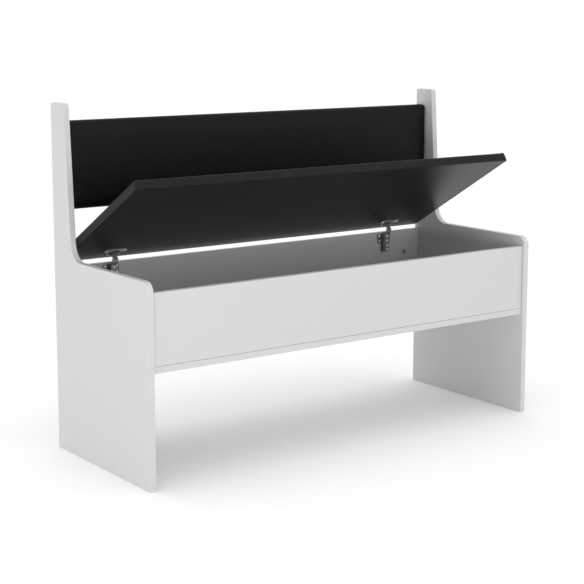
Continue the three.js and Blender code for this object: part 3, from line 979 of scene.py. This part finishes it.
def area_light(name, power, height, place):
    """A wide lamp aimed at the bench's middle"""
    light = bpy.data.lights.new(name, "AREA")
    light.shape = "RECTANGLE"
    light.size, light.size_y = LAMP_WIDTH, height
    light.energy = power
    obj = link_object(name, light)
    obj.location = place
    way = Vector(LAMP_TARGET) - Vector(place)
    obj.rotation_euler = way.to_track_quat("-Z", "Y").to_euler()
    obj.visible_camera = False


class BENCH_OT_stage(bpy.types.Operator):
    """Sets up the camera, the lights, the white surroundings and the floor"""

    bl_idname = "bench.stage"
    bl_label = "Stage"

    def camera(self, scene, settings):
        data = bpy.data.cameras.new("camera")
        data.sensor_width = SENSOR_WIDTH
        data.lens = settings.lens
        data.shift_y = settings.shift_y
        data.clip_start, data.clip_end = CLIP_START, CLIP_END
        obj = link_object("camera", data)
        obj.location = settings.place
        obj.rotation_euler = (math.pi / 2 - settings.pitch, 0.0, -settings.yaw)
        scene.camera = obj

    def world(self, scene, sky):
        world = bpy.data.worlds.new("white_room")
        world.use_nodes = True
        tree = world.node_tree
        tree.nodes.clear()
        seen = add_node(tree, "ShaderNodeBackground", {"Color": (1, 1, 1, 1), "Strength": 1.0})
        light = add_node(tree, "ShaderNodeBackground", {"Color": (1, 1, 1, 1)})
        way = add_node(tree, "ShaderNodeTexCoord")
        split = add_node(tree, "ShaderNodeSeparateXYZ")
        tree.links.new(way.outputs["Generated"], split.inputs[0])
        level = map_range(tree, split.outputs["Z"], (0.0, 1.0), (0.0, sky))
        tree.links.new(level, light.inputs["Strength"])
        mix = add_node(tree, "ShaderNodeMixShader")
        tree.links.new(seen_directly(tree), mix.inputs["Fac"])
        tree.links.new(light.outputs[0], mix.inputs[1])
        tree.links.new(seen.outputs[0], mix.inputs[2])
        out = add_node(tree, "ShaderNodeOutputWorld")
        tree.links.new(mix.outputs[0], out.inputs["Surface"])
        scene.world = world

    def floor(self, color, glow):
        mesh = bpy.data.meshes.new("floor")
        ways = ((-1, -1), (1, -1), (1, 1), (-1, 1))
        corners = [(FLOOR_REACH * x, FLOOR_REACH * y, 0.0) for x, y in ways]
        mesh.from_pydata(corners, [], [(0, 1, 2, 3)])
        floor = link_object("floor", mesh)
        material, shader = new_material("floor", color, roughness=0.9, specular=0.0)
        shader.inputs["Emission Color"].default_value = (1.0, 1.0, 1.0, 1.0)
        tree = material.node_tree
        level = map_range(tree, seen_directly(tree), (0.0, 1.0), (0.0, glow))
        tree.links.new(level, shader.inputs["Emission Strength"])
        mesh.materials.append(material)

    def execute(self, context):
        scene = context.scene
        scene.view_settings.view_transform = "Standard"
        settings = scene.bench
        lights = settings.light
        self.camera(scene, settings.camera)
        self.world(scene, lights.sky)
        self.floor(settings.color.floor, lights.floor_glow)
        for name, lamp in LAMPS.items():
            area_light(name, getattr(lights, name), lamp["height"], lamp["place"])
        return {"FINISHED"}


class BENCH_PT_panel(bpy.types.Panel):
    """The bench's operators and settings"""

    bl_idname = "BENCH_PT_panel"
    bl_label = "Storage Bench"
    bl_space_type = "VIEW_3D"
    bl_region_type = "UI"
    bl_category = "Bench"

    def draw(self, context):
        for group in BenchSettings.__annotations__:
            part = getattr(context.scene.bench, group)
            box = self.layout.box()
            for name in part.__annotations__:
                box.prop(part, name)
        for operator in OPERATORS:
            self.layout.operator(operator.bl_idname)


OPERATORS = (
    BENCH_OT_boards,
    BENCH_OT_hinges,
    BENCH_OT_screws,
    BENCH_OT_backrest,
    BENCH_OT_seat,
    BENCH_OT_stage,
)
CLASSES = (
    BenchColorSettings,
    BenchCameraSettings,
    BenchLightSettings,
    BenchCoverSettings,
    BenchScrewSettings,
    BenchSettings,
    *OPERATORS,
    BENCH_PT_panel,
)


def register():
    for cls in CLASSES:
        bpy.utils.register_class(cls)
    bpy.types.Scene.bench = PointerProperty(
        type=BenchSettings, name="Bench", description="Settings of the bench"
    )


def unregister():
    del bpy.types.Scene.bench
    for cls in reversed(CLASSES):
        bpy.utils.unregister_class(cls)


def main():
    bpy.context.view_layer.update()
    register()
    bpy.ops.bench.boards()
    bpy.ops.bench.hinges()
    bpy.ops.bench.screws()
    bpy.ops.bench.backrest()
    bpy.ops.bench.seat()
    bpy.ops.bench.stage()


if __name__ == "__main__":
    main()
